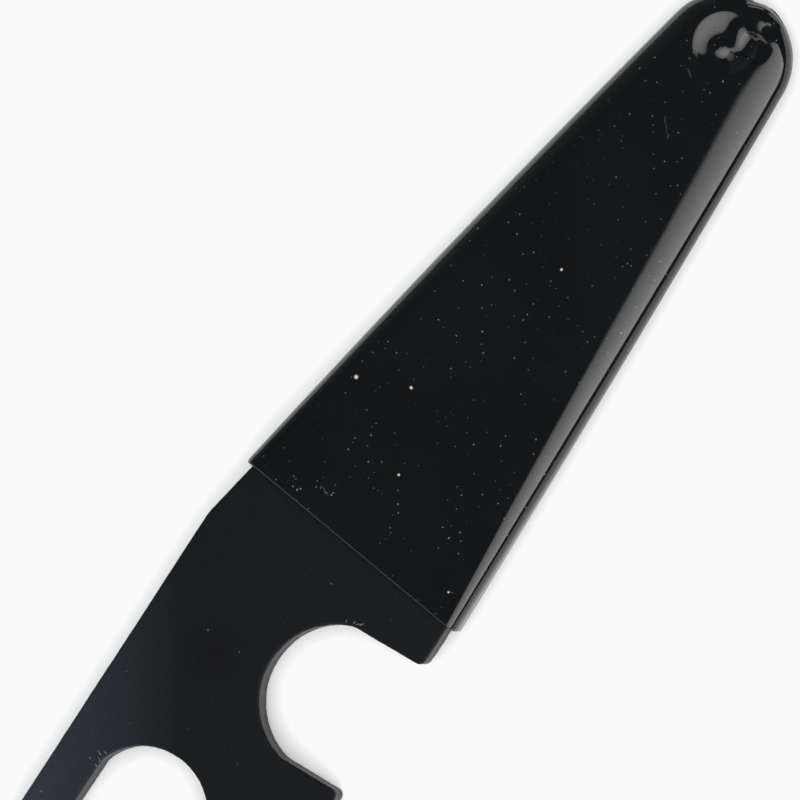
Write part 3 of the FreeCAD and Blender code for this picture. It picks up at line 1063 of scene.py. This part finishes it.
class WRENCH_OT_stage(bpy.types.Operator):
    """Sets up the floor, the lights and the camera"""

    bl_idname = "wrench.stage"
    bl_label = "Build stage"

    def execute(self, context):
        settings = context.scene.wrench_stage_settings
        self.lay_floor(settings)
        self.hang_lights(settings)
        self.place_camera(context, settings)
        return {"FINISHED"}

    def lay_floor(self, settings):
        bm = bmesh.new()
        bmesh.ops.create_grid(bm, x_segments=1, y_segments=1, size=FLOOR_REACH)
        mesh = bpy.data.meshes.new("floor")
        bm.to_mesh(mesh)
        bm.free()
        floor = bpy.data.objects.new("floor", mesh)
        bpy.context.scene.collection.objects.link(floor)
        material = bpy.data.materials.new("Pale floor")
        material.use_nodes = True
        shader = material.node_tree.nodes["Principled BSDF"]
        shader.inputs["Base Color"].default_value = (*settings.floor_colour, 1)
        shader.inputs["Roughness"].default_value = 0.9
        shader.inputs["Specular IOR Level"].default_value = 0.1
        mesh.materials.append(material)

    def hang_lights(self, settings):
        key = area_light("softbox", heading=74, zenith=34.5, distance=1.3, width=3.2, height=1.86)
        key.visible_diffuse = False
        set_brightness(key.data, settings.key_strength * 1.75, settings.key_strength * 0.45, 0.14)
        back, end = settings.back_card_strength, settings.end_card_strength
        for name, heading, zenith, height, foot, top in (
            ("back card", 262, 66, 1.1, back, 0.0),
            ("end card", 345, 74, 0.5, end, end),
        ):
            card = area_light(name, heading, zenith, distance=1.3, width=1.5, height=height)
            card.visible_diffuse = False
            set_brightness(card.data, foot, top)
        side = area_light("side panel", 65, 50, distance=1.5, width=2.0, height=1.2, glossy=False)
        set_brightness(side.data, settings.side_strength, settings.side_strength)
        ceiling = area_light("ceiling", 0, 0, distance=1.5, width=5.0, height=5.0, glossy=False)
        set_brightness(ceiling.data, settings.fill_strength, settings.fill_strength)
        world = bpy.data.worlds.new("dim room")
        bpy.context.scene.world = world
        world.use_nodes = True
        nodes = Nodes(world.node_tree)
        room = world.node_tree.nodes["Background"]
        room.inputs["Color"].default_value = ROOM_COLOUR
        seen = nodes.add("LightPath").outputs["Is Camera Ray"]
        strength = nodes.spread(seen, 0, 1, settings.world_strength, BACKDROP_STRENGTH)
        nodes.put(room.inputs["Strength"], strength)
        self.set_exposure()

    def set_exposure(self):
        """Keeps the pale floor just short of white, as a camera's own response does."""
        view = bpy.context.scene.view_settings
        view.view_transform = "Standard"
        view.use_curve_mapping = True
        curve = view.curve_mapping.curves[3]
        curve.points[0].location = (0.0, 0.0)
        curve.points[-1].location = (1.0, BRIGHTEST)
        view.curve_mapping.extend = "HORIZONTAL"
        view.curve_mapping.update()

    def place_camera(self, context, settings):
        data = bpy.data.cameras.new("camera")
        data.lens, data.sensor_width = LENS, SENSOR
        camera = bpy.data.objects.new("camera", data)
        context.scene.collection.objects.link(camera)
        heading = polar(math.degrees(settings.camera_heading))
        down = Vector((heading.y, -heading.x))
        lean = heading * math.tan(settings.lean_right) + down * math.tan(settings.lean_down)
        back = Vector((lean.x, lean.y, 1)).normalized()
        right = (Vector((heading.x, heading.y, 0)) - back * back.xy.dot(heading)).normalized()
        up = back.cross(right)
        aim = (AIM + PLAN_ORIGIN) * MM
        distance = settings.framed_width * LENS / SENSOR
        turn = Matrix((right, up, back)).transposed().to_4x4()
        camera.matrix_world = Matrix.Translation(aim + back * distance) @ turn
        data.clip_start, data.clip_end = 0.01, 50.0
        context.scene.camera = camera


class WRENCH_PT_panel(bpy.types.Panel):
    """Lists what can be built, with its sizes and colours"""

    bl_idname = "WRENCH_PT_panel"
    bl_label = "Flat wrench"
    bl_space_type = "VIEW_3D"
    bl_region_type = "UI"
    bl_category = "Wrench"

    def draw(self, context):
        for operator, group in BUILDS:
            box = self.layout.box()
            box.operator(operator.bl_idname)
            settings = getattr(context.scene, group)
            for name in settings.__annotations__:
                box.prop(settings, name)


BUILDS = (
    (WRENCH_OT_plate, "wrench_plate_settings"),
    (WRENCH_OT_grip, "wrench_grip_settings"),
    (WRENCH_OT_stage, "wrench_stage_settings"),
)
GROUPS = {
    "wrench_plate_settings": WrenchPlateSettings,
    "wrench_grip_settings": WrenchGripSettings,
    "wrench_stage_settings": WrenchStageSettings,
}
CLASSES = (*GROUPS.values(), WRENCH_OT_plate, WRENCH_OT_grip, WRENCH_OT_stage, WRENCH_PT_panel)


def register():
    for made in CLASSES:
        bpy.utils.register_class(made)
    for name, group in GROUPS.items():
        setattr(bpy.types.Scene, name, bpy.props.PointerProperty(type=group))


def unregister():
    for name in GROUPS:
        delattr(bpy.types.Scene, name)
    for made in reversed(CLASSES):
        bpy.utils.unregister_class(made)


def main():
    register()
    bpy.ops.wrench.plate()
    bpy.ops.wrench.grip()
    bpy.ops.wrench.stage()


if __name__ == "__main__":
    main()
